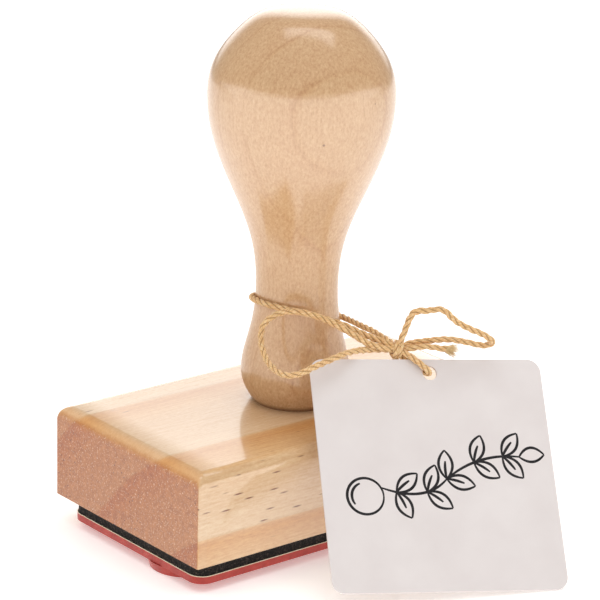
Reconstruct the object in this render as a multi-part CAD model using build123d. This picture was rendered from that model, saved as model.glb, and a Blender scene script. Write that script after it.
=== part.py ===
"""Wooden handle stamp with its hang tag, in millimetres, +Z up.

The stamp stands on its printing face. The origin is on that face's plane, under the handle's axis;
X runs along the block's length and the front faces -Y. From the table upwards there are the rubber
die, a film of adhesive, the foam cushion, a second film, the pine block with a countersunk screw in
it, and the turned handle. Jute twine is tied round the handle's neck in a bow, and a card tag hangs
from the bow's knot and leans out in front, with one corner on the table.
"""
import os
from math import cos, pi, radians, sin, tan

from build123d import *

# ---- driving dimensions ---------------------------------------------------------------------
block_length = 80.0
block_width = 45.3
block_height = 18.0
block_round = 2.5            # roundover along the four top edges
block_arris = 0.4            # sanded upright corners

relief_height = 1.7          # the design stands this far out of the rubber sheet
rubber_thickness = 1.4
film_thickness = 0.1
foam_thickness = 1.9

die_left = -39.6             # the die sits nearer to the block's front left corner
die_right = 39.2
die_front = -22.5
die_back = 18.2
die_corner = 3.0

handle_height = 76.8
contact_radius = 7.9         # the ring where the handle stands on the block
foot_radius = 10.25
neck_radius = 7.85
head_radius = 17.7

screw_radius = 2.0
screw_length = 38.0
screw_head_radius = 4.0
screw_sink = 0.3             # the head lies this far inside the block's underside
screw_clearance = 0.25       # radial room round the screw where it passes through the block
point_length = 4.0

twine = 1.3                  # diameter of the twine
knot_radius = 1.9
knot_centre = Vector(7.1, -21.5, 38.0)

tag_side = 45.4
tag_thickness = 0.45
tag_corner = 2.5
tag_turn = 20.5              # degrees that the tag's face is turned to the left of -Y
tag_lean = 40.5              # degrees that its face is tipped up from the upright
tag_roll = 5.3               # degrees that its right side hangs lower
hole_radius = 1.4
hole_from_left = 23.3
hole_from_top = 2.75
hole_centre = Vector(10.7, -26.9, 33.9)

# ---- levels ---------------------------------------------------------------------------------
rubber_bottom = relief_height
lower_film_bottom = rubber_bottom + rubber_thickness
foam_bottom = lower_film_bottom + film_thickness
upper_film_bottom = foam_bottom + foam_thickness
block_bottom = upper_film_bottom + film_thickness
block_top = block_bottom + block_height

parts = {}


# ---- rubber die: a sheet with a raised sprig --------------------------------------------------
stroke = 1.5                 # width of the raised lines
ring_centre = (-32.5, -9.2)
ring_radius = 6.9            # the round fruit, at the printing face
ring_draft = 0.5             # its wall is this much wider where it meets the sheet
leaf_length = 10.5
leaf_width = 5.4
leaf_angle = 50              # between a leaf and the stem
stem_low = ThreePointArc((-26.6, -5.6), (-12.0, -8.0), (1.0, -2.0))
stem_high = ThreePointArc((1.0, -2.0), (14.0, 3.6), (26.5, 5.6))


def sheet(bottom, thickness):
    """A sheet cut to the rounded rectangle that the rubber, the foam and the films share."""
    centre = Pos((die_left + die_right) / 2, (die_front + die_back) / 2, bottom)
    outline = RectangleRounded(die_right - die_left, die_back - die_front, die_corner)
    return extrude(centre * outline, thickness)


def leaf(stem, share, side):
    """A leaf drawn as one stroke: two arcs that meet in points, standing off the stem."""
    tip, bulge = (leaf_length, 0), leaf_length * 0.45
    outline = ThreePointArc((0, 0), (bulge, leaf_width / 2), tip)
    outline += ThreePointArc(tip, (bulge, -leaf_width / 2), (0, 0))
    face = make_face(outline)
    lines = face - offset(face, -stroke * 0.6, kind=Kind.INTERSECTION)
    foot, along = stem @ share, stem % share
    heading = Vector(1, 0).get_signed_angle(along, Vector(0, 0, 1)) + side * leaf_angle
    return Pos(foot.X, foot.Y) * Rot(0, 0, heading) * lines


def raised_ring():
    """The round fruit at the stem's foot: a ring with drafted walls that reaches the sheet's edge."""
    inside = ring_radius - stroke
    corners = [(ring_radius, 0), (ring_radius + ring_draft, relief_height),
               (inside - ring_draft, relief_height), (inside, 0)]
    section = Plane.XZ * make_face(Polyline(*corners, close=True))
    return Pos(*ring_centre, 0) * revolve(section, Axis.Z)


design = SlotArc(stem_low, stroke) + SlotArc(stem_high, stroke)
for stem, shares in ((stem_low, (0.22, 0.66)), (stem_high, (0.08, 0.48, 0.86))):
    for share in shares:
        design += leaf(stem, share, 1) + leaf(stem, share, -1)
design += leaf(stem_high, 1.0, 0)
raised = extrude(design, relief_height) + raised_ring()
parts["rubber_die"] = sheet(rubber_bottom, rubber_thickness) + raised

# ---- adhesive films and foam cushion ----------------------------------------------------------
parts["die_film"] = sheet(lower_film_bottom, film_thickness)
parts["foam_cushion"] = sheet(foam_bottom, foam_thickness)
parts["mount_film"] = sheet(upper_film_bottom, film_thickness)

# ---- wood screw: it comes up through the block into the handle ---------------------------------
head_top = block_bottom + screw_sink
neck_of_head = head_top + screw_head_radius - screw_radius
screw_tip = head_top + screw_length
screw_outline = [(0, head_top), (screw_head_radius, head_top), (screw_radius, neck_of_head),
                 (screw_radius, screw_tip - point_length), (0, screw_tip)]
screw = revolve(Plane.XZ * make_face(Polyline(*screw_outline, close=True)), Axis.Z)
recess = Pos(0, 0, head_top) * Box(4.4, 0.9, 2.6) + Pos(0, 0, head_top) * Box(0.9, 4.4, 2.6)
parts["handle_screw"] = screw - recess

# ---- pine block ---------------------------------------------------------------------------------
block = Pos(0, 0, block_bottom) * Box(block_length, block_width, block_height,
                                      align=(Align.CENTER, Align.CENTER, Align.MIN))
block = fillet(block.edges().filter_by(Axis.Z), block_arris)
block = fillet(block.faces().sort_by(Axis.Z)[-1].edges(), block_round)
hole = screw_radius + screw_clearance
sink = screw_head_radius + screw_sink + screw_clearance
clearance_outline = [(0, block_bottom), (sink, block_bottom), (hole, block_bottom + sink - hole),
                     (hole, block_top), (0, block_top)]
block -= revolve(Plane.XZ * make_face(Polyline(*clearance_outline, close=True)), Axis.Z)
parts["mount_block"] = block

# ---- turned handle ------------------------------------------------------------------------------
# Radius and height above the block: foot, waist, neck and swelling head, then the crown.
turning = [(contact_radius, 0), (foot_radius, 4.6), (9.65, 11), (8.45, 16), (neck_radius, 22.5),
           (8.85, 32), (13.5, 44), (17.0, 54), (head_radius, 60.5)]
crown = [(head_radius, 60.5), (15.8, 68), (10.4, 74.3), (0, handle_height)]
curve = Spline(*[(r, block_top + z) for r, z in turning], tangents=((0.8, 1), (0, 1)),
               tangent_scalars=(1, 1))
curve += Spline(*[(r, block_top + z) for r, z in crown], tangents=((0, 1), (-1, 0)))
axis_line = Polyline((0, block_top + handle_height), (0, block_top), (contact_radius, block_top))
handle = revolve(Plane.XZ * make_face(curve + axis_line), Axis.Z)
pilot_outline = [(0, block_top), (screw_radius, block_top), (screw_radius, screw_tip - point_length),
                 (0, screw_tip)]
handle -= revolve(Plane.XZ * make_face(Polyline(*pilot_outline, close=True)), Axis.Z)
parts["handle"] = handle


# ---- twine ----------------------------------------------------------------------------------------
def twine_tube(name, points):
    """A tube of the twine's size along straight runs joined by the largest arcs that fit them."""
    corners = [Vector(*p) for p in points]
    radii = []
    for before, corner, after in zip(corners, corners[1:], corners[2:]):
        run_in, run_out = corner - before, after - corner
        turn = radians(run_in.get_angle(run_out))
        radii.append(0.45 * min(run_in.length, run_out.length) / tan(turn / 2))
    path = FilletPolyline(*points, radius=radii)
    tube = sweep(Plane(origin=path @ 0, z_dir=path % 0) * Circle(twine / 2), path=path)
    section = pi * twine**2 / 4
    print(f"{name}: length {path.length:.1f}, radii {[round(r, 1) for r in radii]},"
          f" volume over section times length {tube.volume / (section * path.length):.4f}")
    return tube


# Once round the neck, both ends in the knot.
neck_route = [(5.6, -21.3, 39.1), (3.2, -17.3, 40.3), (0.1, -13.0, 42.5), (-4.6, -8.6, 43.9),
              (-8.3, -3.7, 44.3), (-9.3, 0.4, 44.2), (-7.2, 5.9, 43.4), (-1.8, 9.3, 41.9),
              (4.8, 8.6, 40.1), (9.4, 3.6, 38.5), (9.9, -3.2, 38.1), (7.9, -9.1, 39.2),
              (7.5, -15.3, 39.4), (6.7, -20.0, 39.2)]
# The wide left bow, which hangs in front of the handle's foot.
left_route = [(5.4, -21.4, 37.7), (2.5, -20.1, 38.8), (-0.6, -16.9, 41.5), (-3.9, -13.1, 43.8),
              (-7.6, -9.5, 44.9), (-10.7, -7.1, 43.9), (-12.4, -6.2, 42.3), (-13.7, -7.2, 39.7),
              (-14.7, -9.7, 37.5), (-15.3, -13.3, 36.4), (-15.5, -16.9, 36.4),
              (-14.3, -19.0, 36.9), (-12.3, -20.0, 37.6), (-8.8, -19.6, 38.0),
              (-6.0, -20.2, 38.8), (-1.6, -19.4, 38.5), (2.7, -18.8, 37.8), (6.5, -20.1, 37.6)]
# The pointed right bow, folded sharply at its tip.
right_route = [(7.1, -22.4, 39.3), (7.8, -22.9, 41.6), (8.8, -23.5, 44.8), (10.7, -24.7, 46.2),
               (13.4, -26.4, 45.4), (16.6, -28.3, 43.0), (19.2, -29.9, 40.9), (21.5, -31.1, 39.6),
               (23.1, -29.0, 37.6), (20.9, -27.2, 37.9), (17.6, -25.5, 38.7), (13.2, -23.3, 38.9),
               (9.0, -21.0, 38.7)]
# The cut end to the right of the knot, and the short one behind the tag.
tail_route = [(8.4, -22.3, 38.2), (10.9, -23.3, 38.6), (14.6, -25.2, 38.2), (18.2, -26.8, 37.0)]
short_route = [(8.0, -20.8, 36.8), (8.7, -19.4, 34.4), (8.6, -18.6, 31.8)]

parts["neck_twine"] = twine_tube("neck_twine", neck_route)
parts["left_bow"] = twine_tube("left_bow", left_route)
parts["right_bow"] = twine_tube("right_bow", right_route)
parts["bow_tail"] = twine_tube("bow_tail", tail_route)
parts["short_tail"] = twine_tube("short_tail", short_route)
parts["bow_knot"] = Pos(*knot_centre) * Sphere(knot_radius)

# ---- hang tag and the loop of twine that holds it ----------------------------------------------
out = Vector(-sin(radians(tag_turn)) * cos(radians(tag_lean)),
             -cos(radians(tag_turn)) * cos(radians(tag_lean)), sin(radians(tag_lean)))
level = Vector(cos(radians(tag_turn)), -sin(radians(tag_turn)), 0)
top_edge = level.rotate(Axis((0, 0, 0), out), -tag_roll)
tag_plane = Plane(origin=hole_centre, x_dir=top_edge, z_dir=out)

card = Pos(tag_side / 2 - hole_from_left, hole_from_top - tag_side / 2) * RectangleRounded(
    tag_side, tag_side, tag_corner)
card -= Circle(hole_radius)
parts["hang_tag"] = extrude(tag_plane * card, tag_thickness / 2, both=True)

# The loop lies in the plane through the knot that stands square to the card.
to_knot = (knot_centre - hole_centre) - out * (knot_centre - hole_centre).dot(out)
reach = to_knot.length - knot_radius - 0.75
loop_plane = Plane(origin=hole_centre, x_dir=to_knot, z_dir=to_knot.cross(out))
bend, slack, pinch = 1.3, 0.4, 0.8
loop_corners = [(reach, pinch), (slack, bend), (slack, -bend), (reach, -pinch)]
loop_path = FilletPolyline(*[loop_plane.from_local_coords((a, b)) for a, b in loop_corners],
                           radius=bend * 0.92)
loop_start = Plane(origin=loop_path @ 0, z_dir=loop_path % 0)
parts["tag_strand"] = sweep(loop_start * Circle(twine / 2), path=loop_path)
print(f"tag_strand: length {loop_path.length:.1f}; tag's lowest point"
      f" {parts['hang_tag'].bounding_box().min.Z:.2f}; hinge axis {-top_edge}")

os.makedirs("parts", exist_ok=True)
for name, shape in parts.items():
    export_step(shape, f"parts/{name}.step")
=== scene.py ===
"""Wood-mounted hand stamp with its card tag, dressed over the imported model. Metres, +Z up."""

import bpy
import numpy as np
from mathutils import Matrix, Vector


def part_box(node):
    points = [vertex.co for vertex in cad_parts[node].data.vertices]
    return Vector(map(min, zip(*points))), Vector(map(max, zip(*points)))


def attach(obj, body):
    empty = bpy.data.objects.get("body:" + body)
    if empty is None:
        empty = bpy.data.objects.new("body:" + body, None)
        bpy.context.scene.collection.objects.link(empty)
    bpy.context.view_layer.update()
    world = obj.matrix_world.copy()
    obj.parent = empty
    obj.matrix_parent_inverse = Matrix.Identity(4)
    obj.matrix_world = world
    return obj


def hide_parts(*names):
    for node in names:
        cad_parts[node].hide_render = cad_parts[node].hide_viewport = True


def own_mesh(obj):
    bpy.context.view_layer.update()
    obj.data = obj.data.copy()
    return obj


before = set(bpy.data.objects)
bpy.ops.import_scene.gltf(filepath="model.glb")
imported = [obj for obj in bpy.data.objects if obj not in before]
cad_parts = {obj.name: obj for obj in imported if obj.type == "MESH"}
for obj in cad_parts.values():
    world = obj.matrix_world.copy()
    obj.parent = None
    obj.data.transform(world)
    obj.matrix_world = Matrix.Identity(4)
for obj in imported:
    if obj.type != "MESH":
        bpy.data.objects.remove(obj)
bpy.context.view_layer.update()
MM = 0.001

# ---- View and studio ----------------------------------------------------------------------------
# A long lens a little above the stamp, off its left front corner; a pale sweep of paper under it
# in soft light from all round, with one long soft box nearly overhead.
view_azimuth, view_elevation, view_roll = np.radians((-39.2, 18.71, 1.47))
view_target = Vector((0.00052, -0.00042, 0.04305))
view_distance = 0.5867
lens, sensor = 184.2, 36.0

across = Vector((np.cos(view_azimuth), np.sin(view_azimuth), 0))
back = Vector((np.sin(view_azimuth) * np.cos(view_elevation),
               -np.cos(view_azimuth) * np.cos(view_elevation), np.sin(view_elevation)))
turned = Matrix((across, back.cross(across), back)).transposed()
camera = bpy.data.objects.new("camera", bpy.data.cameras.new("camera"))
camera.data.lens, camera.data.sensor_width = lens, sensor
camera.data.clip_start = 0.02
camera.matrix_world = (Matrix.Translation(view_target + back * view_distance)
                       @ (turned @ Matrix.Rotation(view_roll, 3, "Z")).to_4x4())
bpy.context.scene.collection.objects.link(camera)
bpy.context.scene.camera = camera
bpy.context.scene.view_settings.view_transform = "Standard"


def linear(code):
    """The linear colour of an sRGB hex code, with alpha 1."""
    srgb = np.array([int(code[i:i + 2], 16) for i in (1, 3, 5)]) / 255
    return *np.where(srgb < 0.04045, srgb / 12.92, ((srgb + 0.055) / 1.055) ** 2.4).tolist(), 1.0


def add(tree, kind, sockets=None, **settings):
    """Adds a node with its settings. A socket given as hex text is a colour, and as an output a
    link; where a node has two sockets of one name, they go by number."""
    node = tree.nodes.new(kind)
    stops = settings.pop("stops", ())
    for name, value in settings.items():
        setattr(node, name, value)
    for name, value in (sockets or {}).items():
        socket = node.inputs[name]
        if isinstance(value, bpy.types.NodeSocket):
            tree.links.new(value, socket)
        else:
            socket.default_value = linear(value) if isinstance(value, str) else value
    for extra in range(2, len(stops)):
        node.color_ramp.elements.new(1.0)
    for element, (place, code) in zip(node.color_ramp.elements if stops else (), stops):
        element.position, element.color = place, linear(code)
    return node


def material(name):
    """An empty material with its shader, and its tree."""
    made = bpy.data.materials.new(name)
    made.use_nodes = True
    made.node_tree.nodes.clear()
    shader = add(made.node_tree, "ShaderNodeBsdfPrincipled")
    add(made.node_tree, "ShaderNodeOutputMaterial", {"Surface": shader.outputs["BSDF"]},
        name="Material Output")
    return made, made.node_tree, shader


def link(tree, value, socket):
    """Leads one node's output to another node's socket."""
    tree.links.new(value, socket)


def piece(name, corners, faces, made_of):
    """A smooth-shaded mesh object at the origin, from its corners and faces."""
    mesh = bpy.data.meshes.new(name)
    mesh.from_pydata(np.asarray(corners).tolist(), [], faces)
    mesh.shade_smooth()
    mesh.materials.append(made_of)
    obj = bpy.data.objects.new(name, mesh)
    bpy.context.scene.collection.objects.link(obj)
    return obj


# The lacquer mirrors the room: an overlit white table all round the stamp that curves up a little
# on the near side, a white backdrop straight behind, and the dim room above them. Light that only
# falls on things is even and soft.
away = (0.632, 0.775, 0.0)          # level direction from the near side to the backdrop
table_near, table_far, backdrop_glow, dim_room = 2.25, 1.4, 2.4, 0.22
fill_low, fill_overhead = 0.44, 1.28
dims_from, dims_to = -0.10, 0.15            # the table's glow fades over this stretch of it
table_ends, table_gone = 0.45, 0.80         # and over this one the table ends
curl_slant, curl_soft, curl_hard = 0.36, 0.22, 0.08      # how steeply its near edge curves up
curl_full, curl_over = 0.14, 0.28           # heights, as sines, that the curve fades between
backdrop_from, backdrop_full = 0.78, 0.98   # how nearly straight behind, as cosines

paper_sweep, tree, shader = material("white_studio_paper")
# Matt white paper with a faint tooth.
tooth = add(tree, "ShaderNodeTexNoise", {"Scale": 900.0, "Detail": 3.0})
link(tree, add(tree, "ShaderNodeValToRGB", {"Fac": tooth.outputs["Fac"]},
               stops=((0.3, "#f9f8f7"), (0.7, "#fdfcfc"))).outputs["Color"],
     shader.inputs["Base Color"])
shader.inputs["Roughness"].default_value = 0.9
shader.inputs["Emission Color"].default_value = linear("#fffdfb")
shader.inputs["Emission Strength"].default_value = 0.30
place = add(tree, "ShaderNodeTexCoord")
backward = add(tree, "ShaderNodeVectorMath", {0: place.outputs["Object"], 1: away},
               operation="DOT_PRODUCT")
table = add(tree, "ShaderNodeMapRange", {"Value": backward.outputs["Value"],
                                         "From Min": dims_from, "From Max": dims_to,
                                         "To Min": table_near, "To Max": table_far})
on_table = add(tree, "ShaderNodeMapRange", {"Value": backward.outputs["Value"],
                                            "From Min": table_ends, "From Max": table_gone,
                                            "To Min": 1.0, "To Max": dim_room})
mirrored = add(tree, "ShaderNodeMath", {0: table.outputs["Result"],
                                        1: on_table.outputs["Result"]}, operation="MULTIPLY")
glow = add(tree, "ShaderNodeEmission", {"Color": "#fffaf7", "Strength": mirrored.outputs["Value"]})
ray = add(tree, "ShaderNodeLightPath")
mixed = add(tree, "ShaderNodeMixShader", {0: ray.outputs["Is Glossy Ray"],
                                          1: shader.outputs["BSDF"],
                                          2: glow.outputs["Emission"]})
link(tree, mixed.outputs["Shader"], tree.nodes["Material Output"].inputs["Surface"])
half_floor = 4.0
floor = piece("floor", half_floor * np.array([(-1, -1, 0), (1, -1, 0), (1, 1, 0), (-1, 1, 0)]),
              [(0, 1, 2, 3)], paper_sweep)

world = bpy.data.worlds.new("studio")
world.use_nodes = True
tree = world.node_tree
background = tree.nodes["Background"]
background.inputs["Color"].default_value = linear("#fffdfb")
place = add(tree, "ShaderNodeTexCoord")
backward = add(tree, "ShaderNodeVectorMath", {0: place.outputs["Generated"], 1: away},
               operation="DOT_PRODUCT")
# The table's edge dips from the near side, where it curves up, round to the back.
level_up = add(tree, "ShaderNodeSeparateXYZ", {"Vector": place.outputs["Generated"]})
dip = add(tree, "ShaderNodeMath", {0: backward.outputs["Value"], 1: curl_slant,
                                   2: level_up.outputs["Z"]}, operation="MULTIPLY_ADD")
curled = add(tree, "ShaderNodeMapRange", {"Value": dip.outputs["Value"],
                                          "From Min": curl_hard, "From Max": curl_soft,
                                          "To Min": table_near, "To Max": 0.0})
curl_top = add(tree, "ShaderNodeMapRange", {"Value": level_up.outputs["Z"],
                                            "From Min": curl_full, "From Max": curl_over,
                                            "To Min": 1.0, "To Max": 0.0})
near_side = add(tree, "ShaderNodeMath", {0: curled.outputs["Result"],
                                         1: curl_top.outputs["Result"]}, operation="MULTIPLY")
backdrop = add(tree, "ShaderNodeMapRange", {"Value": backward.outputs["Value"],
                                            "From Min": backdrop_from, "From Max": backdrop_full,
                                            "To Min": dim_room, "To Max": backdrop_glow})
mirrored = add(tree, "ShaderNodeMath", {0: near_side.outputs["Value"],
                                        1: backdrop.outputs["Result"]}, operation="MAXIMUM")
soft_light = add(tree, "ShaderNodeMapRange", {"Value": level_up.outputs["Z"],
                                              "To Min": fill_low, "To Max": fill_overhead})
ray = add(tree, "ShaderNodeLightPath")
# A Mix of numbers has its share at socket 0 and its two numbers at 2 and 3.
strength = add(tree, "ShaderNodeMix", {0: ray.outputs["Is Glossy Ray"],
                                       2: soft_light.outputs["Result"],
                                       3: mirrored.outputs["Value"]}, data_type="FLOAT")
seen = add(tree, "ShaderNodeMix", {0: ray.outputs["Is Camera Ray"],
                                   2: strength.outputs[0], 3: 1.0}, data_type="FLOAT")
link(tree, seen.outputs[0], background.inputs["Strength"])
bpy.context.scene.world = world

box_long, box_deep, box_watts = 0.90, 0.30, 1.5
lamp = bpy.data.lights.new("top_box", "AREA")
lamp.shape, lamp.energy = "RECTANGLE", box_watts
lamp.size, lamp.size_y = box_long, box_deep
box = bpy.data.objects.new("top_box", lamp)
box_place = Vector((0.13, -0.010, 1.05))
facing = box_place.normalized()
box_wide = (across - facing * across.dot(facing)).normalized()
box.matrix_world = (Matrix.Translation(box_place)
                    @ Matrix((box_wide, facing.cross(box_wide), facing)).transposed().to_4x4())
bpy.context.scene.collection.objects.link(box)


# ---- Jute twine: round the neck, the two halves of the bow, the knot ----------------------------
# Three-ply jute twine, 1.3 mm thick, laid up right-handed from dry golden fibre. One length goes
# round the handle's neck and is tied in front of it in a bow, with two short cut ends.
lay = 5.2 * MM                      # length of one full turn of the plies
ply_offset, ply_radius = 0.29 * MM, 0.33 * MM
ring_step = 0.14 * MM
ply_columns = 18
ply_swell, ply_rough, ply_sway = 0.035, 0.016 * MM, 0.035 * MM      # how uneven the spinning is
hairs_per_mm, hair_width, hair_reach = 3.0, 0.05 * MM, (0.4, 1.5)   # loose fibres, reach in mm
brush_hairs, brush_width, brush_reach = 120, 0.17 * MM, (1.7, 2.5)  # fibres at a frayed end
brush_radius, frayed = 0.66 * MM, 1.6 * MM      # the end opens over the frayed length
fibre_rings, fibre_sides = 5, 3
SHARE, UNDER, UPPER, MIXED = 0, 6, 7, 2     # a Mix of colours' sockets, whose names repeat
chance = np.random.default_rng(11)

jute, tree, shader = material("jute_twine")
# Dry bast fibre: matt and golden, brown in the creases between the plies as painted shade, and
# paler where single fibres stand loose as painted light, making up for the shade they cast.
along = add(tree, "ShaderNodeAttribute", attribute_name="fibre_run")
crease_shade_share = add(tree, "ShaderNodeAttribute", attribute_name="crease_shade")
streaks = add(tree, "ShaderNodeTexNoise", {"Vector": along.outputs["Vector"], "Scale": 1.0,
                                           "Detail": 4.0, "Roughness": 0.65})
colours = add(tree, "ShaderNodeValToRGB", {"Fac": streaks.outputs["Fac"]},
              stops=((0.25, "#b78247"), (0.40, "#dbac72"), (0.55, "#efcb96"), (0.75, "#fde6c0")))
# Painted shade: the creases between the plies are mixed towards dark brown.
crease_shaded = add(tree, "ShaderNodeMix", {SHARE: crease_shade_share.outputs["Fac"], UNDER: colours.outputs["Color"],
                                      UPPER: "#976631"}, data_type="RGBA")
# Painted light: loose fibres are mixed towards pale gold, making up for the shade they cast on one
# another.
loose = add(tree, "ShaderNodeAttribute", attribute_name="loose")
painted_fibre_light = add(tree, "ShaderNodeMix", {SHARE: loose.outputs["Fac"], UNDER: crease_shaded.outputs[MIXED],
                                    UPPER: "#ffe2a8"}, data_type="RGBA")
link(tree, painted_fibre_light.outputs[MIXED], shader.inputs["Base Color"])
threads = add(tree, "ShaderNodeBump", {"Height": streaks.outputs["Fac"], "Strength": 0.6,
                                       "Distance": 0.06 * MM})
link(tree, threads.outputs["Normal"], shader.inputs["Normal"])
shader.inputs["Subsurface Weight"].default_value = 0.18
shader.inputs["Subsurface Radius"].default_value = (1.0, 0.6, 0.3)
shader.inputs["Subsurface Scale"].default_value = 0.4 * MM
shader.inputs["Roughness"].default_value = 0.78
shader.inputs["Sheen Weight"].default_value = 0.25
shader.inputs["Sheen Roughness"].default_value = 0.5


def route_line(route):
    """The smooth line of a NURBS spline whose control points are the route, spaced evenly."""
    curve = bpy.data.curves.new("route", "CURVE")
    curve.dimensions, curve.resolution_u = "3D", 48
    spline = curve.splines.new("NURBS")
    spline.points.add(len(route) - 1)
    spline.points.foreach_set("co", np.c_[route, np.ones(len(route))].ravel())
    spline.order_u = 3
    spline.use_endpoint_u = True
    holder = bpy.data.objects.new("route", curve)
    mesh = bpy.data.meshes.new_from_object(holder)
    drawn = np.empty(3 * len(mesh.vertices))
    mesh.vertices.foreach_get("co", drawn)
    drawn = drawn.reshape(-1, 3)
    bpy.data.objects.remove(holder)
    bpy.data.curves.remove(curve)
    bpy.data.meshes.remove(mesh)
    run = np.r_[0, np.cumsum(np.linalg.norm(np.diff(drawn, axis=0), axis=1))]
    at = np.linspace(0, run[-1], int(run[-1] / ring_step) + 2)
    return np.stack([np.interp(at, run, drawn[:, axis]) for axis in range(3)], axis=1), at


def steady_frame(line):
    """Side and over directions along a line that don't twist round it: square to the line and to
    the direction the line bends in least, turned back by the sum of their own turning."""
    ahead = np.gradient(line, axis=0)
    ahead /= np.linalg.norm(ahead, axis=1, keepdims=True)
    least = np.linalg.svd(line - line.mean(axis=0), full_matrices=False)[2][2]
    side = np.cross(ahead, least)
    side /= np.linalg.norm(side, axis=1, keepdims=True)
    over = np.cross(ahead, side)
    turn = -np.cumsum(np.sum(np.gradient(side, axis=0) * over, axis=1))[:, None]
    return (side * np.cos(turn) + over * np.sin(turn), over * np.cos(turn) - side * np.sin(turn),
            ahead)


def skin(rings):
    """Faces between rings of points (ring, column), with a fan of triangles over each end; the
    two fans' centres are added after the rings."""
    count, columns = rings.shape[:2]
    number = np.arange(count * columns).reshape(count, columns)
    after = np.roll(number, -1, axis=1)
    sides = np.stack([number[:-1], after[:-1], after[1:], number[1:]], axis=-1).reshape(-1, 4)
    first = np.stack([np.full(columns, count * columns), after[0], number[0]], axis=-1)
    last = np.stack([np.full(columns, count * columns + 1), number[-1], after[-1]], axis=-1)
    corners = np.r_[rings.reshape(-1, 3), rings[0].mean(axis=0)[None],
                    rings[-1].mean(axis=0)[None]]
    return corners, sides.tolist() + first.tolist() + last.tolist()


def smooth_chance(at, reach, columns=1):
    """Random values that change smoothly along the line, over about `reach`, one per column."""
    knots = np.arange(0, at[-1] + 2 * reach, reach)
    values = chance.standard_normal((len(knots), columns))
    return np.stack([np.interp(at, knots, values[:, j]) for j in range(columns)], axis=1)


def fibres(roots, headings, bends, lengths, width):
    """Loose fibres, each a three-sided thread: point = root + length·(heading·t + bend·t²), its
    width shrinking with t from the root to the tip."""
    t = np.linspace(0, 1, fibre_rings)[None, :, None]
    middle = roots[:, None] + lengths[:, None, None] * (headings[:, None] * t
                                                        + bends[:, None] * t * t)
    side = np.cross(headings, np.roll(headings, 1, axis=1) + 0.3)
    side /= np.linalg.norm(side, axis=1, keepdims=True)
    over = np.cross(headings, side)
    over /= np.linalg.norm(over, axis=1, keepdims=True)
    turn = np.radians(np.arange(fibre_sides) * 120)[None, None, :, None]
    reach = width / 2 * (1 - 0.85 * t[..., None])
    corners = middle[:, :, None] + reach * (side[:, None, None] * np.cos(turn)
                                            + over[:, None, None] * np.sin(turn))
    number = np.arange(corners.size // 3).reshape(len(roots), fibre_rings, fibre_sides)
    after = np.roll(number, -1, axis=2)
    sides = np.stack([number[:, :-1], after[:, :-1], after[:, 1:], number[:, 1:]], axis=-1)
    return (corners.reshape(-1, 3), sides.reshape(-1, 4).tolist()
            + number[:, 0, ::-1].tolist() + number[:, -1].tolist())


def numbered_on(faces, corners):
    """Faces whose corners are numbered on from those already there."""
    return [[number + len(corners) for number in face] for face in faces]


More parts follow.
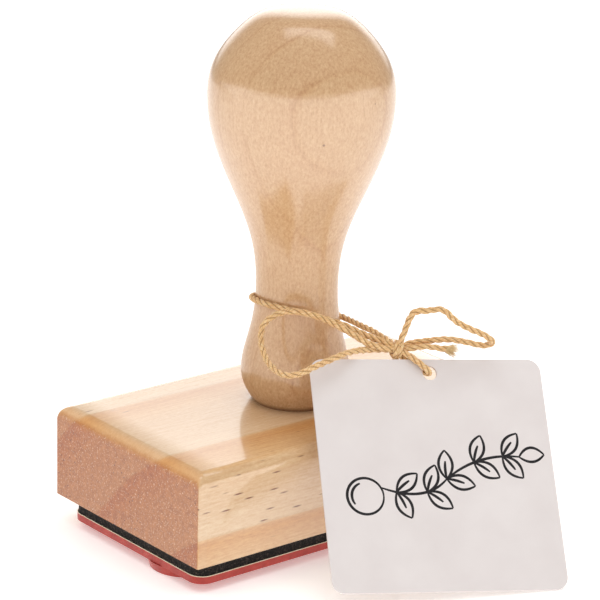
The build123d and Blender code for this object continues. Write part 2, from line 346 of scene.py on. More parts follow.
def laid_twine(name, route, start_angle=0.0, fray=0.0):
    """Twine along a route: point = line + radius·(side·cos + over·sin) of an angle that makes one
    turn every lay. Its outline is three round plies side by side, radius = offset·cos +
    sqrt(ply² − (offset·sin)²) about each ply. Loose fibres stand out of it, and a brush of them
    out of its far end where it frays."""
    line, at = route_line(route)
    side, over, ahead = steady_frame(line)
    columns = 3 * ply_columns
    angle = np.arange(columns) * 2 * np.pi / columns
    from_ply = (angle % (2 * np.pi / 3)) - np.pi / 3
    radius = ply_offset * np.cos(from_ply) + np.sqrt(ply_radius ** 2
                                                     - (ply_offset * np.sin(from_ply)) ** 2)
    swell = 1 + ply_swell * smooth_chance(at, 3 * MM)
    ends = np.clip((at - (at[-1] - frayed)) / frayed, 0, 1)[:, None]
    swell = swell * (1 + 0.35 * fray * ends)
    rough = ply_rough * smooth_chance(at, 1.1 * MM, columns)
    turn = (start_angle + 2 * np.pi * at[:, None] / lay
            + 0.16 * smooth_chance(at, 4 * MM)) + angle
    reach = radius * swell + rough
    wander = ply_sway * smooth_chance(at, 2.5 * MM, 2)
    rings = (line + side * wander[:, :1] + over * wander[:, 1:])[:, None] + reach[..., None] * (
        side[:, None] * np.cos(turn)[..., None] + over[:, None] * np.sin(turn)[..., None])
    corners, faces = skin(rings)

    count = int(at[-1] / MM * hairs_per_mm)
    ring = chance.integers(2, len(at) - 2, count)
    column = chance.integers(0, columns, count)
    outward = rings[ring, column] - line[ring]
    outward /= np.linalg.norm(outward, axis=1, keepdims=True)
    sense = np.where(chance.random(count) < 0.5, -1, 1)[:, None]
    heading = ahead[ring] * sense + outward * chance.uniform(0.1, 0.6, (count, 1))
    heading += 0.3 * np.cross(ahead[ring], outward) * chance.standard_normal((count, 1))
    heading /= np.linalg.norm(heading, axis=1, keepdims=True)
    bend = 0.5 * outward * chance.uniform(-0.6, 0.5, (count, 1)) + 0.15 * chance.standard_normal(
        (count, 3))
    hair, hair_faces = fibres(rings[ring, column] - 0.03 * MM * outward, heading, bend,
                              chance.uniform(*hair_reach, count) * MM, hair_width)
    brush = int(brush_hairs * fray)
    if brush:
        spread = brush_radius * np.sqrt(chance.random(brush))[:, None]
        bearing = chance.uniform(0, 2 * np.pi, brush)[:, None]
        sideways = side[-1] * np.cos(bearing) + over[-1] * np.sin(bearing)
        heading = ahead[-1] + sideways * spread / MM * 0.55 + 0.07 * chance.standard_normal(
            (brush, 3))
        heading /= np.linalg.norm(heading, axis=1, keepdims=True)
        tuft, tuft_faces = fibres(line[-1] - ahead[-1] * 0.7 * MM + sideways * spread, heading,
                                  0.12 * chance.standard_normal((brush, 3)),
                                  chance.uniform(*brush_reach, brush) * MM, brush_width)
        hair_faces += numbered_on(tuft_faces, hair)
        hair = np.r_[hair, tuft]
    faces += numbered_on(hair_faces, corners)
    made = piece(name, np.r_[corners, hair], faces, jute)

    # Each ply's fibres lie nearly along the twine, so the pattern leans across the column.
    run = np.zeros((len(corners) + len(hair), 3))
    body = len(rings) * columns
    ply_arc = (from_ply * ply_radius / MM)[None] + np.arange(columns)[None] // ply_columns * 7.3
    run[:body, 0] = np.repeat(at / MM, columns) * 0.55
    run[:body, 1] = ((ply_arc + 0.8 * at[:, None] / MM) * 7.0).ravel()
    run[body:, 0] = chance.uniform(0, 90, len(run) - body)
    made.data.attributes.new("fibre_run", "FLOAT_VECTOR", "POINT").data.foreach_set(
        "vector", run.ravel())
    # Painted shade: the creases between the plies are darkened, most where two plies meet.
    crease_shade_depth = np.zeros(len(run))
    crease_shade = np.clip((np.abs(from_ply) / (np.pi / 3) - 0.55) / 0.45, 0, 1) ** 1.3
    crease_shade_depth[:body] = np.tile(0.85 * crease_shade, len(rings))
    made.data.attributes.new("crease_shade", "FLOAT", "POINT").data.foreach_set("value", crease_shade_depth)
    # Painted light: loose fibres get a share of pale gold, making up for the shade they cast on
    # each other.
    fibre_light_share = np.zeros(len(run))
    fibre_light_share[body + 2:] = chance.uniform(0.3, 0.9, len(run) - body - 2)
    made.data.attributes.new("loose", "FLOAT", "POINT").data.foreach_set("value", fibre_light_share)
    return made, line


neck_route = MM * np.array([
    (6.5, -21.6, 38.5), (3.2, -17.6, 40.1), (0.0, -13.0, 42.1), (-4.4, -8.3, 43.6),
    (-8.0, -3.7, 44.2), (-8.9, 0.5, 44.3), (-6.9, 5.7, 43.5), (-1.7, 9.0, 42.0), (4.7, 8.2, 40.3),
    (8.9, 3.6, 38.8), (9.8, -2.6, 38.3), (8.3, -8.9, 39.0), (7.6, -15.3, 39.3),
    (7.0, -20.8, 38.5)])
left_bow_route = MM * np.array([
    (6.2, -21.6, 38.0), (2.6, -20.1, 38.8), (-0.6, -17.0, 41.4), (-3.9, -13.1, 43.8),
    (-7.4, -9.5, 45.1), (-10.8, -7.1, 44.4), (-13.0, -6.0, 42.4), (-14.2, -7.1, 39.4),
    (-15.1, -9.8, 37.0), (-15.7, -13.4, 35.9), (-15.8, -17.1, 36.1), (-14.4, -19.5, 36.9),
    (-12.3, -20.1, 37.8), (-8.8, -19.8, 38.1), (-6.1, -20.4, 39.0), (-1.7, -19.6, 38.8),
    (2.6, -19.0, 38.0), (6.8, -20.9, 37.8), (8.4, -22.5, 38.0), (11.0, -23.8, 38.4),
    (13.4, -25.0, 38.1), (15.9, -26.4, 37.4)])
right_bow_route = MM * np.array([
    (6.9, -22.0, 38.3), (7.5, -22.8, 41.0), (8.1, -23.3, 43.9), (8.9, -23.9, 45.9),
    (11.1, -25.5, 45.8), (13.6, -26.7, 46.3), (15.4, -28.1, 43.7), (18.0, -29.7, 42.1),
    (20.3, -31.0, 40.9), (22.6, -31.8, 39.1), (22.4, -28.9, 37.5), (19.8, -27.1, 38.3),
    (16.9, -25.2, 39.0), (13.4, -23.5, 39.0), (10.2, -22.0, 38.7), (8.0, -21.1, 37.8),
    (8.0, -20.4, 36.3), (8.7, -19.4, 34.4), (8.6, -18.6, 31.8)])
neck_twine, neck_line = laid_twine("neck_twine_laid", neck_route)
left_bow, left_line = laid_twine("left_bow_laid", left_bow_route, 1.0, fray=1.0)
right_bow, right_line = laid_twine("right_bow_laid", right_bow_route, 2.0, fray=0.4)

# The knot: the twine goes rather more than one and a half times round the gathered strands,
# pulled tight.
knot = MM * np.array((7.1, -21.5, 38.0))
strands = np.array((0.80, -0.55, -0.1))      # the way the gathered strands run
strands /= np.linalg.norm(strands)
facing = np.cross(strands, (0, 0, 1))
facing /= np.linalg.norm(facing)
upward = np.cross(facing, strands)
wraps = np.radians(np.arange(-150, 431, 36.0))[:, None]
wrap_radius, wrap_spread = 1.3, 0.6          # in mm
wrap_route = knot + MM * (wrap_radius * np.cos(wraps) * facing
                          + wrap_radius * np.sin(wraps) * upward
                          + strands * np.linspace(-wrap_spread, wrap_spread, len(wraps))[:, None])
knot_wrap, _ = laid_twine("knot_wrap", wrap_route, 0.5)

# The loop that holds the tag: out of the knot, down through the tag's hole and back up behind it.
tag_loop_route = MM * np.array([
    (7.2, -22.0, 38.0), (7.7, -23.7, 37.5), (8.9, -25.6, 36.2), (10.0, -27.2, 34.8),
    (10.7, -27.0, 33.9), (10.1, -25.6, 34.0), (9.0, -23.9, 35.0), (7.9, -22.3, 36.3),
    (7.3, -21.3, 37.5)])
tag_loop, _ = laid_twine("tag_loop_laid", tag_loop_route, 1.7)

for made, body, *replaced in ((neck_twine, "stamp", "neck_twine"),
                              (left_bow, "stamp", "left_bow", "bow_tail"),
                              (right_bow, "stamp", "right_bow", "short_tail"),
                              (knot_wrap, "stamp", "bow_knot"),
                              (tag_loop, "tag", "tag_strand")):
    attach(made, body)
    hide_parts(*replaced)


# ---- Rubber die ---------------------------------------------------------------------------------
# A sheet of vulcanised red rubber with the sprig and its round fruit standing up from it. The
# face is moulded smooth, and the edge is cut square a little inside the block's.
to_mm = (1000, 1000, 1000)          # Object coordinates are metres, and patterns are sized in mm
rubber, tree, shader = material("vulcanised_red_rubber")
# Soft satin: a brick red body that is a little paler and dustier in patches, with fine grain.
place = add(tree, "ShaderNodeTexCoord")
in_mm = add(tree, "ShaderNodeMapping", {"Vector": place.outputs["Object"],
                                        "Scale": to_mm})
cloud = add(tree, "ShaderNodeTexNoise", {"Vector": in_mm.outputs["Vector"], "Scale": 0.35,
                                         "Detail": 5.0, "Roughness": 0.6})
link(tree, add(tree, "ShaderNodeValToRGB", {"Fac": cloud.outputs["Fac"]},
               stops=((0.3, "#9c332d"), (0.55, "#b03f37"), (0.75, "#bd5047"))).outputs["Color"],
     shader.inputs["Base Color"])
grain = add(tree, "ShaderNodeTexNoise", {"Vector": in_mm.outputs["Vector"], "Scale": 3.0,
                                         "Detail": 4.0, "Roughness": 0.7})
link(tree, add(tree, "ShaderNodeBump", {"Height": grain.outputs["Fac"], "Strength": 0.5,
                                        "Distance": 0.12 * MM}).outputs["Normal"],
     shader.inputs["Normal"])
shader.inputs["Roughness"].default_value = 0.5
shader.inputs["Specular IOR Level"].default_value = 0.3


def finish_node(name, made_of):
    """Gives a CAD node its finish."""
    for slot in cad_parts[name].material_slots:
        slot.material = made_of


finish_node("rubber_die", rubber)

# ---- Adhesive films -----------------------------------------------------------------------------
# Two clear films of adhesive on cream liner stock; only their cut edges show, as thin pale lines.
adhesive, tree, shader = material("cream_adhesive_film")
# Slightly waxy, and cloudy along the cut.
place = add(tree, "ShaderNodeTexCoord")
cloud = add(tree, "ShaderNodeTexNoise", {"Vector": place.outputs["Object"], "Scale": 900.0,
                                         "Detail": 3.0})
link(tree, add(tree, "ShaderNodeValToRGB", {"Fac": cloud.outputs["Fac"]},
               stops=((0.35, "#e2cfae"), (0.65, "#f3e9d3"))).outputs["Color"],
     shader.inputs["Base Color"])
shader.inputs["Roughness"].default_value = 0.45
finish_node("die_film", adhesive)
finish_node("mount_film", adhesive)

# ---- Foam cushion -------------------------------------------------------------------------------
# A sheet of black closed-cell foam, 1.9 mm thick, cut with the rubber. Its cut edge is rough
# and a little hollow.
foam, tree, shader = material("black_cell_foam")
# Near black and matt; opened cells along the cut catch the light as fine grey specks.
place = add(tree, "ShaderNodeTexCoord")
in_mm = add(tree, "ShaderNodeMapping", {"Vector": place.outputs["Object"],
                                        "Scale": to_mm})
cells = add(tree, "ShaderNodeTexVoronoi", {"Vector": in_mm.outputs["Vector"], "Scale": 3.4})
link(tree, add(tree, "ShaderNodeValToRGB", {"Fac": cells.outputs["Color"]},
               stops=((0.0, "#0e0c0b"), (0.6, "#1b1715"), (1.0, "#4d433d"))).outputs["Color"],
     shader.inputs["Base Color"])
link(tree, add(tree, "ShaderNodeBump", {"Height": cells.outputs["Distance"], "Strength": 0.8,
                                        "Distance": 0.15 * MM}).outputs["Normal"],
     shader.inputs["Normal"])
shader.inputs["Roughness"].default_value = 0.8
shader.inputs["Specular IOR Level"].default_value = 0.2

# The cut edge is the rounded rectangle pulled in by cut back + hollow·(1 − (2·level − 1)²) and a
# ragged random depth, with level running from 0 at the underside to 1 at the top.
low, high = (np.array(corner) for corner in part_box("foam_cushion"))
corner_radius, cut_back = 3.0 * MM, 0.1 * MM
hollow_deep, ragged_deep = 0.12 * MM, 0.05 * MM
quarter = np.linspace(0, np.pi / 2, 13)
inner = np.array([(high[0], high[1]), (low[0], high[1]), (low[0], low[1]), (high[0], low[1])])
inner -= np.sign(inner - (low + high)[:2] / 2) * corner_radius
turns = (np.arange(4)[:, None] * np.pi / 2 + quarter).ravel()
outline = np.repeat(inner, len(quarter), axis=0) + corner_radius * np.c_[np.cos(turns),
                                                                        np.sin(turns)]
closed = np.r_[outline, outline[:1]]
run = np.r_[0, np.cumsum(np.linalg.norm(np.diff(closed, axis=0), axis=1))]
at = np.linspace(0, run[-1], 481)[:-1]
outline = np.stack([np.interp(at, run, closed[:, axis]) for axis in range(2)], axis=1)
facing_out = np.roll(outline, -1, axis=0) - np.roll(outline, 1, axis=0)
facing_out = np.c_[facing_out[:, 1], -facing_out[:, 0]]
facing_out /= np.linalg.norm(facing_out, axis=1, keepdims=True)
levels = np.linspace(0, 1, 9)
hollow = hollow_deep * (1 - (2 * levels - 1) ** 2)
ragged = ragged_deep * chance.standard_normal((len(levels), len(outline)))
ragged = (ragged + np.roll(ragged, 1, axis=1) + np.roll(ragged, -1, axis=1)) / 2
inset = cut_back + hollow[:, None] + np.abs(ragged)
rings = np.zeros((len(levels), len(outline), 3))
rings[..., :2] = outline - inset[..., None] * facing_out
rings[..., 2] = (low[2] + (high[2] - low[2]) * levels)[:, None]
foam_piece = piece("foam_sheet", *skin(rings), foam)
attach(foam_piece, "die")
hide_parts("foam_cushion")
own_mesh(foam_piece)

# ---- Mount block --------------------------------------------------------------------------------
# A block of plantation pine, sawn with its rings at a slant, its upper edges routed round and the
# whole sprayed with clear lacquer. The screw comes up through it.
pine, tree, shader = material("lacquered_pine")
# Wide soft growth rings that end in a sharp tan line, fine grain along the block, short brown
# resin streaks in patches, and end grain that drinks the lacquer and turns darker.
place = add(tree, "ShaderNodeTexCoord")
in_mm = add(tree, "ShaderNodeMapping", {"Vector": place.outputs["Object"],
                                        "Scale": to_mm})
# The pith runs along the block, far below and in front of it, so the rings cross it at 45 degrees.
ring_width, wave_period = 16.7, 0.31416     # mm, and how soon a Wave pattern of scale 1 repeats
from_pith = add(tree, "ShaderNodeMapping", {"Vector": place.outputs["Object"],
                                            "Scale": (90, 1000, 1000),
                                            "Location": (0, 86.4, 82.8)})
year_rings = add(tree, "ShaderNodeTexWave", {"Vector": from_pith.outputs["Vector"],
                                         "Scale": wave_period / ring_width, "Distortion": 0.55,
                                         "Detail": 3.0, "Detail Scale": 5.0,
                                         "Phase Offset": 1.32},
             wave_type="RINGS", rings_direction="X", wave_profile="SAW")
ring_colour = add(tree, "ShaderNodeValToRGB", {"Fac": year_rings.outputs["Fac"]},
                  stops=((0.0, "#d8b68b"), (0.03, "#e0c19b"), (0.25, "#dcba92"),
                         (0.62, "#dab487"), (0.80, "#d8aa75"), (0.93, "#d0995e"),
                         (0.97, "#d29e66"), (1.0, "#d6aa79")))
grain_run = add(tree, "ShaderNodeMapping", {"Vector": place.outputs["Object"],
                                            "Scale": (45, 1000, 1000)})
fine_grain = add(tree, "ShaderNodeTexNoise", {"Vector": grain_run.outputs["Vector"],
                                              "Scale": 2.6, "Detail": 4.0, "Roughness": 0.6})
speckle_run = add(tree, "ShaderNodeMapping", {"Vector": place.outputs["Object"],
                                              "Scale": (330, 1000, 1000)})
speckle = add(tree, "ShaderNodeTexNoise", {"Vector": speckle_run.outputs["Vector"],
                                           "Scale": 2.8, "Detail": 3.0, "Roughness": 0.7})
speckled = add(tree, "ShaderNodeMix", {SHARE: 0.6, UNDER: ring_colour.outputs["Color"],
                                       UPPER: speckle.outputs["Fac"]}, data_type="RGBA",
               blend_type="SOFT_LIGHT")
streaky = add(tree, "ShaderNodeMix", {SHARE: 0.55, UNDER: speckled.outputs[MIXED],
                                      UPPER: fine_grain.outputs["Fac"]}, data_type="RGBA",
              blend_type="SOFT_LIGHT")
resin_run = add(tree, "ShaderNodeMapping", {"Vector": place.outputs["Object"],
                                            "Scale": (520, 3400, 3400)})
resin = add(tree, "ShaderNodeTexVoronoi", {"Vector": resin_run.outputs["Vector"],
                                           "Scale": 0.30, "Randomness": 1.0})
resin_spot = add(tree, "ShaderNodeMapRange", {"Value": resin.outputs["Distance"],
                                              "From Min": 0.08, "From Max": 0.21,
                                              "To Min": 1.0, "To Max": 0.0})
patches = add(tree, "ShaderNodeTexNoise", {"Vector": in_mm.outputs["Vector"], "Scale": 0.07,
                                           "Detail": 1.0})
patch = add(tree, "ShaderNodeMapRange", {"Value": patches.outputs["Fac"], "From Min": 0.56,
                                         "From Max": 0.62})
# Most of the streaks lie in one patch on the upper front edge, near its left end.
from_corner = add(tree, "ShaderNodeMapping", {"Vector": place.outputs["Object"],
                                              "Scale": (62, 130, 250),
                                              "Location": (1.7, 2.9, -4.4)})
corner_reach = add(tree, "ShaderNodeVectorMath", {0: from_corner.outputs["Vector"]},
                   operation="LENGTH")
corner_patch = add(tree, "ShaderNodeMapRange", {"Value": corner_reach.outputs["Value"],
                                                "From Min": 0.85, "From Max": 1.1,
                                                "To Min": 1.0, "To Max": 0.0})
either = add(tree, "ShaderNodeMath", {0: patch.outputs["Result"],
                                      1: corner_patch.outputs["Result"]}, operation="MAXIMUM")
resin_mask = add(tree, "ShaderNodeMath", {0: resin_spot.outputs["Result"],
                                          1: either.outputs["Value"]}, operation="MULTIPLY")
with_resin = add(tree, "ShaderNodeMix", {SHARE: resin_mask.outputs["Value"],
                                         UNDER: streaky.outputs[MIXED], UPPER: "#6e3004"},
                 data_type="RGBA")
faces_way = add(tree, "ShaderNodeSeparateXYZ", {"Vector": place.outputs["Normal"]})
end_on = add(tree, "ShaderNodeMath", {0: faces_way.outputs["X"]}, operation="ABSOLUTE")
end_grain = add(tree, "ShaderNodeMapRange", {"Value": end_on.outputs["Value"],
                                             "From Min": 0.70, "From Max": 0.97,
                                             "To Max": 0.95})
darker = add(tree, "ShaderNodeMix", {SHARE: end_grain.outputs["Result"],
                                     UNDER: with_resin.outputs[MIXED], UPPER: "#c48f66"},
             data_type="RGBA", blend_type="MULTIPLY")
# The routed edge at each end shows open grain, stained orange by the lacquer.
routed = add(tree, "ShaderNodeMath", {0: end_on.outputs["Value"], 1: faces_way.outputs["Z"]},
             operation="MULTIPLY")
routed_share = add(tree, "ShaderNodeMapRange", {"Value": routed.outputs["Value"],
                                                "From Min": 0.05, "From Max": 0.5,
                                                "To Max": 0.38})
stained = add(tree, "ShaderNodeMix", {SHARE: routed_share.outputs["Result"],
                                      UNDER: darker.outputs[MIXED], UPPER: "#f0b070"},
              data_type="RGBA")
# Pale specks on the end grain are painted glints of light on the lacquer in its pores.
pores = add(tree, "ShaderNodeTexNoise", {"Vector": in_mm.outputs["Vector"], "Scale": 2.6,
                                         "Detail": 2.0, "Roughness": 0.8})
sparkle = add(tree, "ShaderNodeMapRange", {"Value": pores.outputs["Fac"], "From Min": 0.58,
                                           "From Max": 0.74})
end_sparkle = add(tree, "ShaderNodeMath", {0: sparkle.outputs["Result"],
                                           1: end_grain.outputs["Result"]}, operation="MULTIPLY")
blotches = add(tree, "ShaderNodeTexNoise", {"Vector": in_mm.outputs["Vector"], "Scale": 0.8,
                                            "Detail": 5.0, "Roughness": 0.7})
blotch_share = add(tree, "ShaderNodeMath", {0: end_grain.outputs["Result"], 1: 0.95},
                   operation="MULTIPLY")
blotched = add(tree, "ShaderNodeMix", {SHARE: blotch_share.outputs["Value"],
                                       UNDER: stained.outputs[MIXED],
                                       UPPER: blotches.outputs["Fac"]}, data_type="RGBA",
               blend_type="SOFT_LIGHT")
specked = add(tree, "ShaderNodeMix", {SHARE: end_sparkle.outputs["Value"],
                                      UNDER: blotched.outputs[MIXED], UPPER: "#f3e2c8"},
              data_type="RGBA")
link(tree, specked.outputs[MIXED], shader.inputs["Base Color"])
# Sanding has let the flat top fall away a little towards each end, in metres from the middle.
sanded_from, sanded_to = 0.0325, 0.0380
spot = add(tree, "ShaderNodeSeparateXYZ", {"Vector": place.outputs["Object"]})
from_middle = add(tree, "ShaderNodeMath", {0: spot.outputs["X"]}, operation="ABSOLUTE")
to_end = add(tree, "ShaderNodeMapRange", {"Value": from_middle.outputs["Value"],
                                          "From Min": sanded_from,
                                          "From Max": sanded_to})
fallen = add(tree, "ShaderNodeMath", {0: to_end.outputs["Result"], 1: 2.0}, operation="POWER")
sanded = add(tree, "ShaderNodeBump", {"Height": fallen.outputs["Value"], "Strength": 1.0,
                                      "Distance": 0.5 * MM}, invert=True)
link(tree, add(tree, "ShaderNodeBump", {"Height": fine_grain.outputs["Fac"], "Strength": 0.35,
                                        "Distance": 0.05 * MM,
                                        "Normal": sanded.outputs["Normal"]}).outputs["Normal"],
     shader.inputs["Normal"])
link(tree, sanded.outputs["Normal"], shader.inputs["Coat Normal"])
# The end grain drinks the lacquer, so it mirrors little.
gloss = add(tree, "ShaderNodeMapRange", {"Value": end_on.outputs["Value"], "From Min": 0.4,
                                         "From Max": 0.95, "To Min": 1.0, "To Max": 0.35})
link(tree, gloss.outputs["Result"], shader.inputs["Coat Weight"])
shader.inputs["Roughness"].default_value = 0.42
shader.inputs["Specular IOR Level"].default_value = 0.25
shader.inputs["Coat IOR"].default_value = 1.7
shader.inputs["Coat Roughness"].default_value = 0.12
finish_node("mount_block", pine)

# ---- Screw --------------------------------------------------------------------------------------
# A zinc-plated countersunk wood screw. It is hidden by the foam once the stamp is glued up.
zinc, tree, shader = material("zinc_plated_steel")
# Pale grey metal with the faint clouding of bright zinc.
cloud = add(tree, "ShaderNodeTexNoise", {"Scale": 700.0, "Detail": 3.0})
link(tree, add(tree, "ShaderNodeValToRGB", {"Fac": cloud.outputs["Fac"]},
               stops=((0.3, "#b9b7a8"), (0.7, "#d6d5cc"))).outputs["Color"],
     shader.inputs["Base Color"])
shader.inputs["Metallic"].default_value = 1.0
shader.inputs["Roughness"].default_value = 0.35
finish_node("handle_screw", zinc)

# ---- Turned handle ------------------------------------------------------------------------------
# A beech knob turned on the lathe with its grain upright, sanded and dipped in clear lacquer.
foot_z = float(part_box("handle")[0][2])
thin_below, full_above = 0.050, 0.074       # heights between which the lacquer thickens
beech, tree, shader = material("lacquered_beech")
# Pale pinkish tan with soft growth rings, which show as ovals on the swelling head, long faint
# grain, and the short dark flecks that beech always has.
place = add(tree, "ShaderNodeTexCoord")
from_pith = add(tree, "ShaderNodeMapping", {"Vector": place.outputs["Object"],
                                            "Scale": (1000, 1000, 70),
                                            "Location": (-10.5, -59.1, 0)})
growth_width = 6.4
growth = add(tree, "ShaderNodeTexWave", {"Vector": from_pith.outputs["Vector"],
                                         "Scale": wave_period / growth_width,
                                         "Distortion": 0.7, "Detail": 2.0,
                                         "Detail Scale": 2.5, "Phase Offset": 0.69},
             wave_type="RINGS", rings_direction="Z", wave_profile="SAW")
growth_colour = add(tree, "ShaderNodeValToRGB", {"Fac": growth.outputs["Fac"]},
                    stops=((0.0, "#d2aa7f"), (0.84, "#d1a77c"), (0.90, "#c4966a"),
                           (0.935, "#cea376"), (1.0, "#d2aa7f")))
# The rings come and go as the lathe cuts them at a slant.
showing = add(tree, "ShaderNodeTexNoise", {"Vector": place.outputs["Object"], "Scale": 60.0,
                                           "Detail": 2.0})
ring_share = add(tree, "ShaderNodeMapRange", {"Value": showing.outputs["Fac"],
                                              "From Min": 0.35, "From Max": 0.62,
                                              "To Min": 0.0, "To Max": 0.85})
ringed = add(tree, "ShaderNodeMix", {SHARE: ring_share.outputs["Result"], UNDER: "#d2aa7f",
                                     UPPER: growth_colour.outputs["Color"]}, data_type="RGBA")
in_mm = add(tree, "ShaderNodeMapping", {"Vector": place.outputs["Object"],
                                        "Scale": (1000, 1000, 550)})
speckle = add(tree, "ShaderNodeTexNoise", {"Vector": in_mm.outputs["Vector"], "Scale": 2.4,
                                           "Detail": 3.0, "Roughness": 0.75})
mottled = add(tree, "ShaderNodeMix", {SHARE: 0.95, UNDER: ringed.outputs[MIXED],
                                      UPPER: speckle.outputs["Fac"]}, data_type="RGBA",
              blend_type="SOFT_LIGHT")
grain_run = add(tree, "ShaderNodeMapping", {"Vector": place.outputs["Object"],
                                            "Scale": (1000, 1000, 40)})
fine_grain = add(tree, "ShaderNodeTexNoise", {"Vector": grain_run.outputs["Vector"],
                                              "Scale": 1.9, "Detail": 5.0, "Roughness": 0.6})
streaky = add(tree, "ShaderNodeMix", {SHARE: 0.28, UNDER: mottled.outputs[MIXED],
                                      UPPER: fine_grain.outputs["Fac"]}, data_type="RGBA",
              blend_type="SOFT_LIGHT")
fleck_run = add(tree, "ShaderNodeMapping", {"Vector": place.outputs["Object"],
                                            "Scale": (1000, 1000, 210)})
fleck = add(tree, "ShaderNodeTexVoronoi", {"Vector": fleck_run.outputs["Vector"], "Scale": 1.1})
fleck_spot = add(tree, "ShaderNodeMapRange", {"Value": fleck.outputs["Distance"],
                                              "From Min": 0.08, "From Max": 0.2,
                                              "To Min": 0.25, "To Max": 0.0})
flecked = add(tree, "ShaderNodeMix", {SHARE: fleck_spot.outputs["Result"],
                                      UNDER: streaky.outputs[MIXED], UPPER: "#b28250"},
              data_type="RGBA")
# A few pin knots, and a painted shadow: a dark line round the foot where it sits on the block.
pins = add(tree, "ShaderNodeTexVoronoi", {"Vector": place.outputs["Object"], "Scale": 130.0})
pin_spot = add(tree, "ShaderNodeMapRange", {"Value": pins.outputs["Distance"],
                                            "From Min": 0.02, "From Max": 0.04,
                                            "To Min": 0.8, "To Max": 0.0})
height = add(tree, "ShaderNodeSeparateXYZ", {"Vector": place.outputs["Object"]})
# Painted shade where the foot meets the block, darkest at the bottom.
foot_contact_shade = add(tree, "ShaderNodeMapRange", {"Value": height.outputs["Z"],
                                             "From Min": foot_z + 0.25 * MM,
                                             "From Max": foot_z + 1.2 * MM,
                                             "To Min": 0.7, "To Max": 0.0})
knots_and_foot_shade = add(tree, "ShaderNodeMath", {0: pin_spot.outputs["Result"],
                                    1: foot_contact_shade.outputs["Result"]}, operation="MAXIMUM")
with_knots_and_foot_shade = add(tree, "ShaderNodeMix", {SHARE: knots_and_foot_shade.outputs["Value"], UNDER: flecked.outputs[MIXED],
                                     UPPER: "#6f4320"}, data_type="RGBA")
link(tree, with_knots_and_foot_shade.outputs[MIXED], shader.inputs["Base Color"])
link(tree, add(tree, "ShaderNodeBump", {"Height": fine_grain.outputs["Fac"], "Strength": 0.25,
                                        "Distance": 0.05 * MM}).outputs["Normal"],
     shader.inputs["Normal"])
shader.inputs["Roughness"].default_value = 0.45
shader.inputs["Specular IOR Level"].default_value = 0.2
# The lacquer stands thick on the head and thins out towards the waist.
lacquered = add(tree, "ShaderNodeMapRange", {"Value": height.outputs["Z"], "From Min": thin_below,
                                             "From Max": full_above,
                                             "To Min": 0.5, "To Max": 1.0})
link(tree, lacquered.outputs["Result"], shader.inputs["Coat Weight"])
shader.inputs["Coat IOR"].default_value = 1.8
shader.inputs["Coat Roughness"].default_value = 0.17
finish_node("handle", beech)

# ---- Hang tag -----------------------------------------------------------------------------------
# A 45 mm square of smooth white card with rounded corners and a punched hole, printed in black
# with a thin-line sprig and its round fruit, the same design as the die's.
card, tree, shader = material("smooth_white_card")
# Uncoated card: soft warm white, with faint formation clouds and a fine tooth.
place = add(tree, "ShaderNodeTexCoord")
in_mm = add(tree, "ShaderNodeMapping", {"Vector": place.outputs["Object"],
                                        "Scale": to_mm})
cloud = add(tree, "ShaderNodeTexNoise", {"Vector": in_mm.outputs["Vector"], "Scale": 0.12,
                                         "Detail": 4.0})
link(tree, add(tree, "ShaderNodeValToRGB", {"Fac": cloud.outputs["Fac"]},
               stops=((0.3, "#dfd8d7"), (0.7, "#e5dfde"))).outputs["Color"],
     shader.inputs["Base Color"])
tooth = add(tree, "ShaderNodeTexNoise", {"Vector": in_mm.outputs["Vector"], "Scale": 2.5,
                                         "Detail": 4.0, "Roughness": 0.7})
link(tree, add(tree, "ShaderNodeBump", {"Height": tooth.outputs["Fac"], "Strength": 0.3,
                                        "Distance": 0.03 * MM}).outputs["Normal"],
     shader.inputs["Normal"])
shader.inputs["Roughness"].default_value = 0.62
finish_node("hang_tag", card)

ink, tree, shader = material("black_printing_ink")
# Dense matt black that sinks into the card, a little thinner in places.
place = add(tree, "ShaderNodeTexCoord")
worn = add(tree, "ShaderNodeTexNoise", {"Vector": place.outputs["Object"], "Scale": 1500.0,
                                        "Detail": 3.0})
link(tree, add(tree, "ShaderNodeValToRGB", {"Fac": worn.outputs["Fac"]},
               stops=((0.35, "#141216"), (0.75, "#2c292d"))).outputs["Color"],
     shader.inputs["Base Color"])
shader.inputs["Roughness"].default_value = 0.5

tag_turn, tag_lean, tag_roll = np.radians((20.5, 40.5, 5.3))
tag_side, tag_thickness, half_ink = 45.4 * MM, 0.45 * MM, 0.015 * MM
hole_from_left, hole_from_top = 23.3 * MM, 2.75 * MM
hole_centre = MM * np.array((10.7, -26.9, 33.9))
tag_out = np.array((-np.sin(tag_turn) * np.cos(tag_lean), -np.cos(tag_turn) * np.cos(tag_lean),
                    np.sin(tag_lean)))
level = np.array((np.cos(tag_turn), -np.sin(tag_turn), 0))
tag_right = level * np.cos(tag_roll) + np.cross(tag_out, level) * np.sin(-tag_roll)
tag_up = np.cross(tag_out, tag_right)
tag_middle = (hole_centre + tag_right * (tag_side / 2 - hole_from_left)
              + tag_up * (hole_from_top - tag_side / 2))


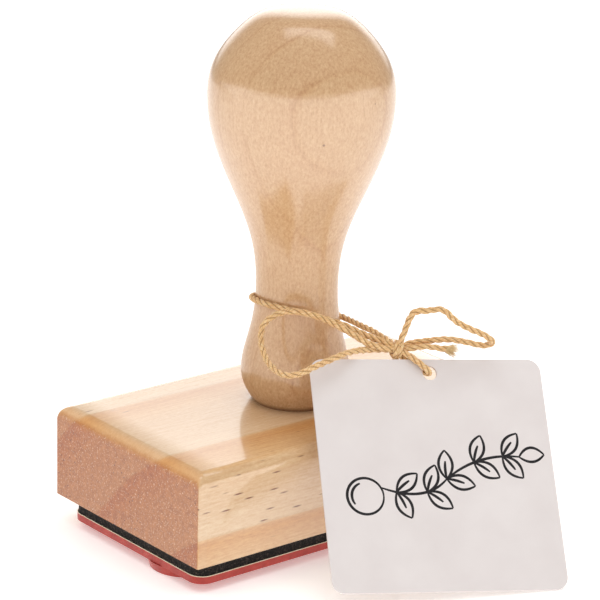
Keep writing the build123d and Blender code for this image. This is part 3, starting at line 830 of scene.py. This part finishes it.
def ink_stroke(line, pen):
    """A printed line: a flat eight-sided outline, pen wide and 0.03 mm high, carried along the
    line on the card's face. Its half width is pen/2·(0.35 + 0.65·sqrt(sin of the run)), so it
    thins at both ends; line is in millimetres from the tag's middle."""
    placed = tag_middle + tag_out * tag_thickness / 2 + MM * (line[:, :1] * tag_right
                                                              + line[:, 1:] * tag_up)
    ahead = np.gradient(placed, axis=0)
    ahead /= np.linalg.norm(ahead, axis=1, keepdims=True)
    beside = np.cross(tag_out, ahead)
    turn = np.arange(8) * np.pi / 4
    stroke_run = np.linspace(0.12, np.pi - 0.12, len(line))
    press = pen * MM / 2 * (0.35 + 0.65 * np.sqrt(np.sin(stroke_run)))
    rings = placed[:, None] + (press[:, None] * -np.cos(turn))[..., None] * beside[:, None] \
        + (half_ink * np.sin(turn))[None, :, None] * tag_out
    return skin(rings)


def arc_through(start, middle, end, count=40):
    """Points of the parabola that leaves start, passes through middle halfway, and meets end."""
    t = np.linspace(0, 1, count)[:, None]
    pull = 2 * np.array(middle) - (np.array(start) + np.array(end)) / 2
    return (1 - t) ** 2 * np.array(start) + 2 * t * (1 - t) * pull + t ** 2 * np.array(end)


pen_width = 0.55
fruit, fruit_radius, glint_radius = np.array((-14.6, -4.2)), 3.5, 2.6
joint, tip, bud = (1.5, -1.0), (16.2, 3.2), (21.2, 3.6)
leaf_long, leaf_swell, leaf_angle = 5.6, 1.35, np.radians(52)
around = np.linspace(0, 2 * np.pi, 60)[:, None]
glint = around * 0.3 + 1.9
strokes = [fruit + fruit_radius * np.c_[np.cos(around), np.sin(around)],
           fruit + glint_radius * np.c_[np.cos(glint), np.sin(glint)],
           arc_through((-11.4, -2.6), (-4.0, -3.8), joint),
           arc_through(joint, (8.5, 2.6), tip)]
for stem, shares in ((strokes[2], (0.2, 0.62)), (strokes[3], (0.02, 0.42, 0.8))):
    for share in shares:
        foot = stem[int(share * (len(stem) - 1))]
        along = stem[int(share * (len(stem) - 1)) + 1] - foot
        for side in (1, -1):
            heading = np.arctan2(along[1], along[0]) + side * leaf_angle
            reach = leaf_long * np.array((np.cos(heading), np.sin(heading)))
            swell = leaf_swell * np.array((-np.sin(heading), np.cos(heading)))
            strokes += [arc_through(foot, foot + reach * 0.5 + swell, foot + reach, 24),
                        arc_through(foot, foot + reach * 0.5 - swell, foot + reach, 24),
                        arc_through(foot, foot + reach * 0.3 + swell * 0.1,
                                    foot + reach * 0.62, 12)]
strokes += [arc_through(tip, (18.6, 5.0), bud, 24), arc_through(tip, (18.8, 2.2), bud, 24)]
corners, faces = np.zeros((0, 3)), []
for stroke in strokes:
    more, more_faces = ink_stroke(stroke, pen_width)
    faces += numbered_on(more_faces, corners)
    corners = np.r_[corners, more]
tag_print = piece("tag_print", corners, faces, ink)
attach(tag_print, "tag")
